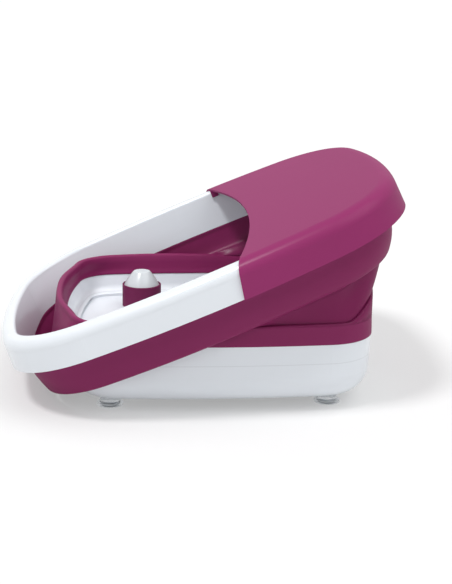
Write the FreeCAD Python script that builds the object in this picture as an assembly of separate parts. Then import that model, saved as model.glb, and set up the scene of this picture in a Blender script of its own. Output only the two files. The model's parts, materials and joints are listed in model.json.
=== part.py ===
import FreeCAD, Part
import math
import os

# Folding foot spa basin, half unfolded: the toe end (+X) is up, the heel end (-X) is down.
# Millimetres, +Z up, the feet stand on Z = 0. The base is modelled about its own centre, and
# at the end everything is moved so that the whole part stands centred on the origin.

V = FreeCAD.Vector
X_AXIS = V(1, 0, 0)
Y_AXIS = V(0, 1, 0)
Z_AXIS = V(0, 0, 1)

# ---- driving dimensions ------------------------------------------------------------------

# Base outline: half length, half width, radius of the long sides, of the ends, of the corners
BASE_HALF_LENGTH = 160.0
BASE_HALF_WIDTH = 147.0
BASE_SIDE_RADIUS = 1150.0
BASE_END_RADIUS = 460.0
BASE_CORNER_RADIUS = 51.0

# Rim outline, measured in the rim's own plane: how far it stands out beyond the base
RIM_END_OVERHANG = 50.0
RIM_SIDE_OVERHANG = 34.0
RIM_SIDE_RADIUS = 725.0
RIM_END_RADIUS = 595.0
RIM_CORNER_RADIUS = 99.0

# Where the rim stands: tilt about Y, and the centre of its lower edge
RIM_TILT = 23.0
RIM_CENTRE_X = -12.9
RIM_CENTRE_Z = 115.8

# Heights of the base
FOOT_HEIGHT = 10.5
SEAM_HEIGHT = 51.5
BASE_TOP_HEIGHT = 72.0
CREST_HEIGHT = 91.0

# Moulded walls and draft
WALL = 2.5
SEAM_DRAFT = 0.7
BOTTOM_DRAFT = 2.2
BOTTOM_ROUND = 28.0
TOP_EDGE_ROUND = 1.0

# Tub
TUB_TOP_INSET = 8.4
TUB_FLOOR_INSET = 14.0
TUB_FLOOR_HEIGHT = 50.5
TUB_FLOOR_ROUND = 10.0
BED_DEPTH = 3.0
BED_END_MARGIN = 20.5
BED_SIDE_MARGIN = 28.0
BED_INNER_Y = 7.0
BED_OUTER_ROUND = 46.0
BED_INNER_ROUND = 18.0
RIB_COUNT = 6
RIB_PITCH = 15.0
RIB_FIRST_X = 30.0
RIB_LENGTH = 72.0
RIB_RADIUS = 6.0
RIB_HEIGHT = 1.6

# Folding wall: cuffs of soft plastic and the web between them
CUFF = 3.0
LOWER_CUFF_INSET = 2.6
LOWER_CUFF_THICKNESS = 3.5
LOWER_CUFF_FOOT = 5.0
CREST_ROUND = 1.6
UPPER_CUFF_DEPTH = 35.0
UPPER_CUFF_END_INSET = 20.0
UPPER_CUFF_SIDE_INSET = 23.0
UPPER_CUFF_EDGE_ROUND = 1.2
WEB = 1.8
WEB_SHOULDER_INSET = -1.5
WEB_POINTS = 72
SOFT_GAP = 0.3

# Rim section, along the rim's normal
RIM_HEIGHT = 31.5
RIM_FLARE = 1.4
RIM_FLARE_HEIGHT = 20.0
RIM_ROLL = 9.5
RIM_INNER_ROUND = 4.0
RIM_TOP_INSET = 16.0
WALL_FOOT_DEPTH = 9.0
WALL_FOOT_END_INSET = 18.0
WALL_FOOT_SIDE_INSET = 23.5
BOSS_DIAMETER = 6.4
BOSS_SHORT = 0.4
RIM_SCREW_BITE = 7.0
RIM_SCREW_HEAD = 1.6
RIM_SCREW_HEAD_RADIUS = 2.8
BOSS_SIDE_X = (-125.0, -42.0, 42.0, 125.0)
BOSS_END_Y = (-55.0, 55.0)
RING_THICKNESS = 2.5
RING_RECESS = 2.0
BEAD_WIDTH = 4.7
BEAD_THICKNESS = 2.2
LAP_THICKNESS = 2.0

# Splash guard
GUARD_WALL = 2.2
GUARD_GAP = 0.4
GUARD_SEAT_GAP = 0.3
GUARD_ROUND = 13.5
GUARD_FRONT_X = 64.5
GUARD_CORNER_X = 34.5
GUARD_FRONT_LEAN = 9.0
TAB_LENGTH = 7.0
TAB_WIDTH = 8.0
TAB_THICKNESS = 2.0
TAB_NUB = 1.0
TAB_X = 43.0

# Massage knobs
KNOB_X = -71.0
KNOB_Y = 80.0
KNOB_RADIUS = 21.3
KNOB_HEIGHT = 25.0
KNOB_WALL = 2.4
KNOB_LIP = 1.3
KNOB_CAP_SEAT = 2.0
CAP_HEIGHT = 16.5
CAP_TOP_RADIUS = 8.8
CAP_BULGE = 0.9
CAP_EDGE_ROUND = 2.0
CAP_GAP = 0.1
PEG_RADIUS = 4.0
PEG_HEIGHT = 6.0
KNOB_GAP = 0.3

# Feet
FOOT_END_MARGIN = 53.0
FOOT_SIDE_MARGIN = 44.0
FOOT_RADIUS = 13.0
FOOT_FLANGE = 2.4
FOOT_NECK_RADIUS = 9.6
FOOT_STEM_RADIUS = 3.8
FOOT_HEAD_RADIUS = 5.6
FOOT_HEAD_HEIGHT = 2.6
FOOT_CUP_RADIUS = 9.5
FOOT_CUP_DEPTH = 1.3

# Screws
SCREW_RADIUS = 1.6
SCREW_HEAD_RADIUS = 3.4
SCREW_HEAD_HEIGHT = 2.4
SCREW_GAP = 0.1
BASE_POST_RADIUS = 5.4
BASE_SCREW_SIDE_MARGIN = 41.0
BASE_SCREW_END_MARGIN = 47.0
BASE_SCREW_END_Y = 45.0
POST_JOINT_HEIGHT = 30.0
BASE_SCREW_SEAT = 22.0
BASE_SCREW_BITE = 8.0
POST_SINK = 0.5
PILOT_DEPTH = 8.0
TOP_SCREW_BITE = 7.5
INNER_POST_RADIUS = 4.2

# Cooling slots in the bottom
VENT_COUNT = 7
VENT_PITCH = 15.0
VENT_ROW_Y = 62.0
VENT_LENGTH = 24.0
VENT_WIDTH = 4.0

# Vibration motor, on the base floor
MOTOR_RADIUS = 12.5
MOTOR_LENGTH = 40.0
MOTOR_FLOOR_GAP = 2.0
MOTOR_SEAT_DROP = 6.5
MOTOR_SCREW_END_MARGIN = 6.0
MOTOR_SCREW_SIDE_GAP = 9.0
MOTOR_NOSE_RADIUS = 4.0
MOTOR_NOSE = 1.5
MOTOR_EDGE_ROUND = 1.5
CRADLE_HALF_WIDTH = 13.0
CRADLE_THICKNESS = 3.0
CRADLE_GAP = 0.15
STRAP = 1.6
STRAP_END_MARGIN = 2.0
STRAP_FOOT_LENGTH = 9.0
STRAP_FOOT_REACH = 14.0
SHAFT_RADIUS = 1.6
SHAFT_GAP = 0.3
SHAFT_OVERHANG = 15.0
WEIGHT_RADIUS = 10.5
WEIGHT_THICKNESS = 8.0
WEIGHT_GAP = 2.0
WEIGHT_HUB_RADIUS = 4.0

# Heater
HEATER_LENGTH = 120.0
HEATER_WIDTH = 70.0
HEATER_THICKNESS = 2.0
HEATER_CENTRE_Y = 63.0
HEATER_ROUND = 6.0
CUTOUT_RADIUS = 8.0
CUTOUT_HEIGHT = 7.0
CUTOUT_BLADE = 6.0
CUTOUT_X = 40.0
CUTOUT_BLADE_WIDTH = 6.0
CUTOUT_BLADE_THICKNESS = 1.0
CUTOUT_BLADE_PITCH = 7.0

# Control board
BOARD_END_MARGIN = 53.0
BOARD_LENGTH = 58.0
BOARD_WIDTH = 66.0
BOARD_THICKNESS = 1.6
BOARD_HEIGHT = 24.0
BOARD_SCREW_MARGIN = 5.0
BOARD_PARTS_X = -3.0
RELAY_WIDTH = 18.0
RELAY_HEIGHT = 14.0
RELAY_ROUND = 0.8
RELAY_Y = 21.0
DRIVER_LENGTH = 16.0
DRIVER_WIDTH = 8.0
DRIVER_HEIGHT = 3.0
DRIVER_Y = -24.0
CAPACITOR_RADIUS = 4.0
CAPACITOR_HEIGHT = 12.0
CAPACITOR_PITCH = 11.0
CAPACITOR_Y = -8.0

# Function button, in the toe end of the base shell
BUTTON_DROP = 14.5
BUTTON_RADIUS = 8.0
BUTTON_TRAVEL = 2.5
BUTTON_GAP = 0.3
BUTTON_PROUD = 0.8
BUTTON_COLLAR = 1.6
BUTTON_STEM = 4.0
BUTTON_STEM_RADIUS = 2.5
BEZEL_WIDTH = 3.2
BEZEL_LAND = 1.5
BEZEL_PROUD = 1.2
BEZEL_DEPTH = 9.0
PAD_DEPTH = 8.0
PAD_MARGIN = 1.0
SWITCH_DEPTH = 6.0
SWITCH_WIDTH = 12.0
SWITCH_UPRIGHT_WIDTH = 22.0

# Cord gland, in the far side of the base shell
GLAND_X = -66.0
GLAND_DROP = 15.5
GLAND_BORE_RADIUS = 3.5
GLAND_RADIUS = 7.5
GLAND_FLANGE_RADIUS = 10.0
GLAND_FLANGE = 3.0
GLAND_LOCK = 2.0
CLAMP_BACK = 26.0
CLAMP_LENGTH = 26.0
CLAMP_WIDTH = 8.0
CLAMP_THICKNESS = 3.0
CLAMP_HUMP_WALL = 1.9
CLAMP_SCREW_REACH = 9.0
CLAMP_POST_RADIUS = 4.0

# ---- sizes and places that follow from those above -----------------------------------------

RIM_HALF_LENGTH = BASE_HALF_LENGTH + RIM_END_OVERHANG
RIM_HALF_WIDTH = BASE_HALF_WIDTH + RIM_SIDE_OVERHANG
UPPER_CUFF_HALF_LENGTH = RIM_HALF_LENGTH - UPPER_CUFF_END_INSET
UPPER_CUFF_HALF_WIDTH = RIM_HALF_WIDTH - UPPER_CUFF_SIDE_INSET
WALL_FOOT_HALF_LENGTH = RIM_HALF_LENGTH - WALL_FOOT_END_INSET
WALL_FOOT_HALF_WIDTH = RIM_HALF_WIDTH - WALL_FOOT_SIDE_INSET
BED_HALF_LENGTH = BASE_HALF_LENGTH - BED_END_MARGIN
BED_OUTER_Y = BASE_HALF_WIDTH - BED_SIDE_MARGIN
FOOT_X = BASE_HALF_LENGTH - FOOT_END_MARGIN
FOOT_Y = BASE_HALF_WIDTH - FOOT_SIDE_MARGIN
BASE_SCREW_X = BASE_HALF_LENGTH - BASE_SCREW_END_MARGIN
BASE_SCREW_Y = BASE_HALF_WIDTH - BASE_SCREW_SIDE_MARGIN
BASE_SCREWS = [(0.0, sign * BASE_SCREW_Y) for sign in (1, -1)]
BASE_SCREWS += [(sx * BASE_SCREW_X, sy * BASE_SCREW_END_Y) for sx in (1, -1) for sy in (1, -1)]
MOTOR_AXIS_HEIGHT = FOOT_HEIGHT + WALL + MOTOR_FLOOR_GAP + MOTOR_RADIUS
BOARD_X = BASE_HALF_LENGTH - BOARD_END_MARGIN
BUTTON_HEIGHT = SEAM_HEIGHT - BUTTON_DROP
GLAND_HEIGHT = SEAM_HEIGHT - GLAND_DROP

# ---- outlines ----------------------------------------------------------------------------
# An outline is (half length, half width, side radius, end radius, corner radius): eight
# tangent arcs. Every wire starts at the same corner, so that lofts between them run straight.

BASE = (BASE_HALF_LENGTH, BASE_HALF_WIDTH, BASE_SIDE_RADIUS, BASE_END_RADIUS, BASE_CORNER_RADIUS)
RIM = (RIM_HALF_LENGTH, RIM_HALF_WIDTH, RIM_SIDE_RADIUS, RIM_END_RADIUS, RIM_CORNER_RADIUS)


def inset(outline, depth):
    """The same outline drawn a constant depth further in."""
    return tuple(size - depth for size in outline)


def resized(outline, half_length, half_width):
    """The outline brought to another length and width, with its radii following."""
    end_step = outline[0] - half_length
    side_step = outline[1] - half_width
    corner_step = (end_step + side_step) / 2
    return (half_length, half_width, outline[2] - side_step, outline[3] - end_step, outline[4] - corner_step)


def between(low, high, share):
    """An outline part of the way from one to another."""
    return tuple(a + (b - a) * share for a, b in zip(low, high))


def corner_points(outline):
    """Tangent points and middle of the corner arc in the +X +Y quarter."""
    half_length, half_width, side, end, corner = outline
    side_centre = V(0, half_width - side, 0)
    end_centre = V(half_length - end, 0, 0)
    reach_side = side - corner
    reach_end = end - corner
    span = end_centre - side_centre
    along = (span.Length ** 2 + reach_side ** 2 - reach_end ** 2) / (2 * span.Length)
    off = math.sqrt(max(reach_side ** 2 - along ** 2, 0.0))
    forward = V(span).normalize()
    centre = side_centre + forward * along + V(forward.y, -forward.x, 0) * off
    to_side = V(centre - side_centre).normalize()
    to_end = V(centre - end_centre).normalize()
    middle = centre + V(to_side + to_end).normalize() * corner
    return side_centre + to_side * side, middle, end_centre + to_end * end


def wire(outline, height=0.0):
    side_touch, middle, end_touch = corner_points(outline)
    edges = []

    def arc(*points):
        raised = [V(x, y, height) for x, y in points]
        edges.append(Part.Arc(*raised).toShape())

    sx, sy = side_touch.x, side_touch.y
    mx, my = middle.x, middle.y
    ex, ey = end_touch.x, end_touch.y
    arc((ex, -ey), (outline[0], 0), (ex, ey))
    arc((ex, ey), (mx, my), (sx, sy))
    arc((sx, sy), (0, outline[1]), (-sx, sy))
    arc((-sx, sy), (-mx, my), (-ex, ey))
    arc((-ex, ey), (-outline[0], 0), (-ex, -ey))
    arc((-ex, -ey), (-mx, -my), (-sx, -sy))
    arc((-sx, -sy), (0, -outline[1]), (sx, -sy))
    arc((sx, -sy), (mx, -my), (ex, -ey))
    return Part.Wire(edges)


def on_side(outline, x, sign):
    """The point of a long side at x, on the +Y or -Y side."""
    radius = outline[2]
    return V(x, sign * (outline[1] - radius + math.sqrt(radius ** 2 - x ** 2)), 0)


def on_end(outline, y, sign):
    """The point of an end at y, on the +X or -X end."""
    radius = outline[3]
    return V(sign * (outline[0] - radius + math.sqrt(radius ** 2 - y ** 2)), y, 0)


def plate(outline, low, high):
    return Part.Face(wire(outline, low)).extrude(V(0, 0, high - low))


def loft(*sections):
    """A straight-sided solid through (outline, height) sections."""
    return Part.makeLoft([wire(outline, height) for outline, height in sections], True, True)


def middle(edge):
    return edge.valueAt((edge.FirstParameter + edge.LastParameter) / 2)


def edges_on(shape, outline, height):
    """The edges of a shape that lie on an outline at a height."""
    marks = [middle(edge) for edge in wire(outline, height).Edges]
    return [e for e in shape.Edges if min((middle(e) - mark).Length for mark in marks) < 0.05]


def rounded(shape, radius, outline, height):
    return shape.makeFillet(radius, edges_on(shape, outline, height))


def cylinder(radius, low, high, x=0.0, y=0.0):
    return Part.makeCylinder(radius, high - low, V(x, y, low), Z_AXIS)


def rod(radius, length, start, direction):
    return Part.makeCylinder(radius, length, start, direction)


def block(x0, x1, y0, y1, z0, z1):
    return Part.makeBox(x1 - x0, y1 - y0, z1 - z0, V(x0, y0, z0))


def turned(points, axis_x=0.0, axis_y=0.0):
    """A solid of revolution about a vertical axis, from (radius, height) points."""
    ring = [V(axis_x + radius, axis_y, height) for radius, height in points]
    face = Part.Face(Part.makePolygon(ring + ring[:1]))
    return face.revolve(V(axis_x, axis_y, 0), Z_AXIS, 360)


def fused(pieces):
    whole = pieces[0].fuse(list(pieces[1:])) if len(pieces) > 1 else pieces[0]
    return whole.removeSplitter()


def group(pieces):
    return Part.makeCompound(pieces)


# ---- base shells ---------------------------------------------------------------------------

def base_outline(height):
    """Outer outline of the base at a height: drafted inwards towards the bottom."""
    if height >= SEAM_HEIGHT:
        share = (BASE_TOP_HEIGHT - height) / (BASE_TOP_HEIGHT - SEAM_HEIGHT)
        return inset(BASE, SEAM_DRAFT * share)
    share = (SEAM_HEIGHT - height) / (SEAM_HEIGHT - FOOT_HEIGHT)
    return inset(BASE, SEAM_DRAFT + (BOTTOM_DRAFT - SEAM_DRAFT) * share)


def bed_plate(sign, low, high, grow):
    """One foot bed as a slab with rounded corners, grown outwards by grow."""
    x = BED_HALF_LENGTH + grow
    y0 = BED_INNER_Y - grow
    y1 = BED_OUTER_Y + grow
    slab = block(-x, x, y0, y1, low, high)
    outer = [e for e in slab.Edges if e.BoundBox.ZLength > 0.1 and e.BoundBox.YMin > y1 - 0.1]
    slab = slab.makeFillet(BED_OUTER_ROUND + grow, outer)
    inner = [e for e in slab.Edges if e.BoundBox.XLength < 0.1 and e.BoundBox.YMax < y0 + 0.1]
    slab = slab.makeFillet(BED_INNER_ROUND + grow, [e for e in inner if e.BoundBox.ZLength > 0.1])
    if sign < 0:
        slab = slab.mirror(V(0, 0, 0), Y_AXIS)
    return slab


def make_tub():
    """Upper base shell: outer wall, top edge and the tub itself with two foot beds."""
    top = BASE_TOP_HEIGHT
    skirt = loft((base_outline(SEAM_HEIGHT), SEAM_HEIGHT), (BASE, top))
    skirt = rounded(skirt, TOP_EDGE_ROUND, BASE, top)
    hollow = loft((inset(base_outline(SEAM_HEIGHT), WALL), SEAM_HEIGHT), (inset(BASE, WALL), top - WALL))
    floor_under = TUB_FLOOR_HEIGHT - WALL
    bowl = loft(
        (inset(BASE, TUB_FLOOR_INSET - WALL), floor_under),
        (inset(BASE, TUB_TOP_INSET - WALL), top),
    )
    bowl = rounded(bowl, TUB_FLOOR_ROUND + WALL, inset(BASE, TUB_FLOOR_INSET - WALL), floor_under)
    cavity = loft((inset(BASE, TUB_FLOOR_INSET), TUB_FLOOR_HEIGHT), (inset(BASE, TUB_TOP_INSET), top))
    cavity = rounded(cavity, TUB_FLOOR_ROUND, inset(BASE, TUB_FLOOR_INSET), TUB_FLOOR_HEIGHT)
    shell = skirt.cut(hollow).fuse(bowl).cut(cavity)
    bed_floor = TUB_FLOOR_HEIGHT - BED_DEPTH
    for sign in (-1, 1):
        shell = shell.fuse(bed_plate(sign, bed_floor - WALL, floor_under, WALL))
        shell = shell.cut(bed_plate(sign, bed_floor, TUB_FLOOR_HEIGHT, 0.0))
    shell = shell.removeSplitter()
    extras = []
    for sign in (-1, 1):
        extras.append(cylinder(PEG_RADIUS, bed_floor, bed_floor + PEG_HEIGHT, KNOB_X, sign * KNOB_Y))
        extras += bed_ribs(sign, bed_floor)
    for x, y in BASE_SCREWS:
        roof = bed_floor - WALL if abs(y) > BED_INNER_Y else floor_under
        extras.append(cylinder(BASE_POST_RADIUS - 0.8, POST_JOINT_HEIGHT, roof + WALL / 2, x, y))
    shell = shell.fuse(extras)
    top = POST_JOINT_HEIGHT + BASE_SCREW_BITE + 1
    pilots = [cylinder(SCREW_RADIUS + SCREW_GAP, POST_JOINT_HEIGHT, top, x, y) for x, y in BASE_SCREWS]
    return shell.cut(pilots).removeSplitter()


def bed_ribs(sign, floor):
    """Low round bars across the toe half of a foot bed, which the soles rub on."""
    centre_y = sign * (BED_INNER_Y + BED_OUTER_Y) / 2
    sink = RIB_RADIUS - RIB_HEIGHT
    ribs = []
    for index in range(RIB_COUNT):
        x = RIB_FIRST_X + index * RIB_PITCH
        low_y = centre_y - RIB_LENGTH / 2
        bar = rod(RIB_RADIUS, RIB_LENGTH, V(x, low_y, floor - sink), Y_AXIS)
        high_y = low_y + RIB_LENGTH
        keep = block(x - RIB_RADIUS, x + RIB_RADIUS, low_y, high_y, floor - WALL / 2, floor + RIB_HEIGHT)
        ribs.append(bar.common(keep))
    return ribs


def make_base_shell():
    """Lower base shell with its posts, vents, and the holes for feet, button and gland."""
    low = base_outline(FOOT_HEIGHT)
    high = base_outline(SEAM_HEIGHT)
    shell = loft((low, FOOT_HEIGHT), (high, SEAM_HEIGHT))
    shell = rounded(shell, BOTTOM_ROUND, low, FOOT_HEIGHT)
    floor = FOOT_HEIGHT + WALL
    inside = loft((inset(base_outline(floor), WALL), floor), (inset(high, WALL), SEAM_HEIGHT))
    inside = rounded(inside, BOTTOM_ROUND - WALL, inset(base_outline(floor), WALL), floor)
    shell = shell.cut(inside)
    posts = [cylinder(BASE_POST_RADIUS, floor - POST_SINK, POST_JOINT_HEIGHT, x, y) for x, y in BASE_SCREWS]
    posts += [cylinder(radius, floor - POST_SINK, top, x, y) for radius, top, x, y in inner_posts()]
    shell = shell.fuse(posts + motor_cradle() + [button_pad(), gland_pad()])
    cuts = []
    for x, y in BASE_SCREWS:
        cuts.append(cylinder(SCREW_RADIUS + SCREW_GAP, BASE_SCREW_SEAT, POST_JOINT_HEIGHT, x, y))
        cuts.append(cylinder(SCREW_HEAD_RADIUS + 0.5, FOOT_HEIGHT, BASE_SCREW_SEAT, x, y))
    for x, y in foot_places():
        cuts.append(cylinder(FOOT_STEM_RADIUS + 0.1, FOOT_HEIGHT, floor, x, y))
    for radius, top, x, y in inner_posts():
        cuts.append(cylinder(SCREW_RADIUS + SCREW_GAP, top - PILOT_DEPTH, top, x, y))
    cuts += vent_slots()
    shell = shell.cut(cuts)
    shell = shell.cut([button_hole(), gland_hole()])
    return shell.removeSplitter()


def motor_cradle():
    """Two walls on the floor of the base, hollowed to the can, that the motor lies in."""
    walls = []
    for sign in (-1, 1):
        middle = sign * (MOTOR_LENGTH / 2 - MOTOR_SCREW_END_MARGIN)
        x0 = middle - CRADLE_THICKNESS / 2
        x1 = middle + CRADLE_THICKNESS / 2
        low = FOOT_HEIGHT + WALL - POST_SINK
        wall = block(x0, x1, -CRADLE_HALF_WIDTH, CRADLE_HALF_WIDTH, low, motor_seat())
        walls.append(wall.cut(motor_can(CRADLE_GAP)))
    return walls


def motor_seat():
    """Height of the posts that the motor bracket stands on."""
    return MOTOR_AXIS_HEIGHT - MOTOR_SEAT_DROP


def vent_slots():
    """Two rows of slots in the bottom, which let the motor and the board cool."""
    slots = []
    half_width = VENT_WIDTH / 2
    half_length = VENT_LENGTH / 2
    for row in (-1, 1):
        y = row * VENT_ROW_Y
        for index in range(VENT_COUNT):
            x = (index - (VENT_COUNT - 1) / 2) * VENT_PITCH
            corner = V(x - half_width, y - half_length, FOOT_HEIGHT)
            slots.append(Part.makeBox(VENT_WIDTH, VENT_LENGTH, WALL, corner))
    return slots


def foot_places():
    return [(x, y) for x in (-FOOT_X, FOOT_X) for y in (-FOOT_Y, FOOT_Y)]


def motor_screw_places():
    x = MOTOR_LENGTH / 2 - MOTOR_SCREW_END_MARGIN
    y = MOTOR_RADIUS + MOTOR_SCREW_SIDE_GAP
    return [(sx * x, sy * y) for sx in (-1, 1) for sy in (-1, 1)]


def board_screw_places():
    reach = BOARD_LENGTH / 2 - BOARD_SCREW_MARGIN
    y = BOARD_WIDTH / 2 - BOARD_SCREW_MARGIN
    return [(BOARD_X + sx * reach, sy * y) for sx in (-1, 1) for sy in (-1, 1)]


def clamp_screw_places():
    return [(GLAND_X + sign * CLAMP_SCREW_REACH, clamp_y()) for sign in (-1, 1)]


def inner_posts():
    """(radius, top height, x, y) of the posts that carry the motor, the board and the clamp."""
    posts = [(INNER_POST_RADIUS, motor_seat(), x, y) for x, y in motor_screw_places()]
    posts += [(INNER_POST_RADIUS, BOARD_HEIGHT, x, y) for x, y in board_screw_places()]
    posts += [(CLAMP_POST_RADIUS, clamp_seat(), x, y) for x, y in clamp_screw_places()]
    return posts


def base_screw(x, y):
    """Pan-head screw seated in the counterbore of a base post."""
    seat = BASE_SCREW_SEAT
    head = cylinder(SCREW_HEAD_RADIUS, seat - SCREW_HEAD_HEIGHT, seat, x, y)
    head = head.makeFillet(1.0, [e for e in head.Edges if e.BoundBox.ZMax < seat - 0.1 and e.Length > 6])
    return head.fuse(cylinder(SCREW_RADIUS, seat, POST_JOINT_HEIGHT + BASE_SCREW_BITE, x, y))


def top_screw(x, y, seat, depth):
    """Screw driven from above, its head standing on seat."""
    head = cylinder(SCREW_HEAD_RADIUS, seat, seat + SCREW_HEAD_HEIGHT, x, y)
    head = head.makeFillet(1.0, [e for e in head.Edges if e.BoundBox.ZMin > seat + 0.1 and e.Length > 6])
    return head.fuse(cylinder(SCREW_RADIUS, seat - depth, seat, x, y))


def make_gasket():
    outer = inset(base_outline(SEAM_HEIGHT), WALL + SOFT_GAP)
    ring = plate(outer, SEAM_HEIGHT - 2, SEAM_HEIGHT + 2)
    return ring.cut(plate(inset(outer, 2.0), SEAM_HEIGHT - 2, SEAM_HEIGHT + 2))


def make_foot(x, y):
    """Suction foot: cup, neck, and a stem buttoned through the shell."""
    floor = FOOT_HEIGHT + WALL
    outer = [
        (0, FOOT_CUP_DEPTH), (FOOT_CUP_RADIUS, 0), (FOOT_RADIUS, 0), (FOOT_RADIUS, FOOT_FLANGE - 0.6),
        (FOOT_RADIUS - 0.8, FOOT_FLANGE), (FOOT_NECK_RADIUS + 0.5, FOOT_FLANGE + 0.5),
        (FOOT_NECK_RADIUS, FOOT_FLANGE + 1.6), (FOOT_NECK_RADIUS, FOOT_HEIGHT),
        (FOOT_STEM_RADIUS, FOOT_HEIGHT), (FOOT_STEM_RADIUS, floor), (FOOT_HEAD_RADIUS, floor),
        (FOOT_STEM_RADIUS - 0.4, floor + FOOT_HEAD_HEIGHT), (0, floor + FOOT_HEAD_HEIGHT),
    ]
    return turned(outer, x, y)


# ---- soft cuffs and web ------------------------------------------------------------------

def make_lower_cuff():
    """Soft upstand on the base rim, its top edge rounded into the crest of the folding wall."""
    low = BASE_TOP_HEIGHT
    high = CREST_HEIGHT
    body = plate(inset(BASE, LOWER_CUFF_INSET), low, high)
    hole = loft(
        (inset(BASE, LOWER_CUFF_INSET + LOWER_CUFF_FOOT), low),
        (inset(BASE, LOWER_CUFF_INSET + LOWER_CUFF_THICKNESS), high),
    )
    cuff = body.cut(hole)
    cuff = rounded(cuff, CREST_ROUND, inset(BASE, LOWER_CUFF_INSET), high)
    return rounded(cuff, CREST_ROUND, inset(BASE, LOWER_CUFF_INSET + LOWER_CUFF_THICKNESS), high)


def rim_wall(height, out=0.0):
    """Inner wall of the rim at a height along the rim's normal, drawn outwards by out."""
    low = resized(RIM, WALL_FOOT_HALF_LENGTH, WALL_FOOT_HALF_WIDTH)
    high = inset(RIM, RIM_TOP_INSET)
    share = (height + WALL_FOOT_DEPTH) / (RIM_HEIGHT + WALL_FOOT_DEPTH)
    return inset(between(low, high, share), -out)


def make_upper_cuff():
    """Soft skirt under the rim, with the lap and bead that the rim's retaining ring clamps."""
    foot = resized(RIM, UPPER_CUFF_HALF_LENGTH, UPPER_CUFF_HALF_WIDTH)
    low = -UPPER_CUFF_DEPTH
    high = -WALL_FOOT_DEPTH
    lap_in = WALL + SOFT_GAP
    lap_out = lap_in + LAP_THICKNESS
    body = loft((foot, low), (rim_wall(high, lap_out), high))
    hole = loft((inset(foot, CUFF), low), (rim_wall(high), high))
    cuff = body.cut(hole)
    cuff = rounded(cuff, UPPER_CUFF_EDGE_ROUND, foot, low)
    lap_top = bead_foot() + BEAD_THICKNESS
    lap = loft((rim_wall(high, lap_out), high), (rim_wall(lap_top, lap_out), lap_top))
    bead = plate(rim_wall(lap_top, lap_in + BEAD_WIDTH), bead_foot(), lap_top)
    flange = fused([lap, bead])
    flange = flange.cut(loft((rim_wall(high, lap_in), high), (rim_wall(lap_top, lap_in), lap_top)))
    return fused([cuff, flange])


def bead_foot():
    """Underside of the bead, just above the retaining ring."""
    return RING_RECESS + RING_THICKNESS + SOFT_GAP


def rim_place():
    return FreeCAD.Placement(V(RIM_CENTRE_X, 0, RIM_CENTRE_Z), FreeCAD.Rotation(Y_AXIS, -RIM_TILT))


def ring_points(outline, height, count):
    """Points round an outline. Each arc takes the same share of them on every outline."""
    guide = [edge.Length for edge in wire(BASE).Edges]
    points = []
    for edge, length in zip(wire(outline, height).Edges, guide):
        steps = max(2, round(count * length / sum(guide)))
        span = edge.LastParameter - edge.FirstParameter
        points += [edge.valueAt(edge.FirstParameter + span * step / steps) for step in range(steps)]
    return points


def web_row(root, shoulder, end):
    """The two faces of the web across one row, half its thickness to either side."""
    outward = V(shoulder.x - root.x, shoulder.y - root.y, 0).normalize()
    run = end - shoulder
    reach = run.dot(outward)
    slope = math.atan2(run.z, reach)
    half = WEB / 2
    flat = Z_AXIS * half
    steep = (outward * -math.sin(slope) + Z_AXIS * math.cos(slope)) * half
    mitre = (outward * -math.sin(slope / 2) + Z_AXIS * math.cos(slope / 2)) * (half / math.cos(slope / 2))
    upper = (root + flat, shoulder + mitre, end + steep)
    lower = (root - flat, shoulder - mitre, end - steep)
    return upper, lower


def make_web():
    """Folding wall between the cuffs: level over the crest, then straight to the upper cuff.

    It stands up at the toe end, lies level where the cuffs pass, and hangs at the heel end.
    """
    level = CREST_HEIGHT + SOFT_GAP + WEB / 2
    roots = ring_points(inset(BASE, LOWER_CUFF_INSET + LOWER_CUFF_THICKNESS / 2), level, WEB_POINTS)
    shoulders = ring_points(inset(BASE, WEB_SHOULDER_INSET), level, WEB_POINTS)
    foot = resized(RIM, UPPER_CUFF_HALF_LENGTH, UPPER_CUFF_HALF_WIDTH)
    ends = ring_points(inset(foot, CUFF + SOFT_GAP + WEB / 2), -UPPER_CUFF_DEPTH, WEB_POINTS)
    ends = [rim_place().multVec(point) for point in ends]
    rows = [web_row(*points) for points in zip(roots, shoulders, ends)]
    loop = [[upper[i] for upper, lower in rows] for i in (0, 1, 2)]
    loop += [[lower[i] for upper, lower in rows] for i in (2, 1, 0)]
    steps = [0.0]
    for here, there in zip(shoulders, shoulders[1:] + shoulders[:1]):
        steps.append(steps[-1] + (there - here).Length)
    edges = []
    for points in loop:
        curve = Part.BSplineCurve()
        curve.interpolate(Points=points, Parameters=steps, PeriodicFlag=True)
        edges.append(curve.toShape())
    faces = [Part.makeRuledSurface(a, b) for a, b in zip(edges, edges[1:] + edges[:1])]
    shell = Part.makeShell(faces)
    shell.sewShape()
    solid = Part.makeSolid(shell)
    if solid.Volume < 0:
        solid.reverse()
    return solid


# ---- rim -----------------------------------------------------------------------------------
# These pieces are modelled in the rim's own frame: lower edge on Z = 0, then tilted in place.

def skirt_outline(height, out=0.0):
    """Outer face of the rim at a height: flared at its lower edge."""
    flare = RIM_FLARE * max(0.0, 1 - height / RIM_FLARE_HEIGHT)
    return inset(RIM, -flare - out)


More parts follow.
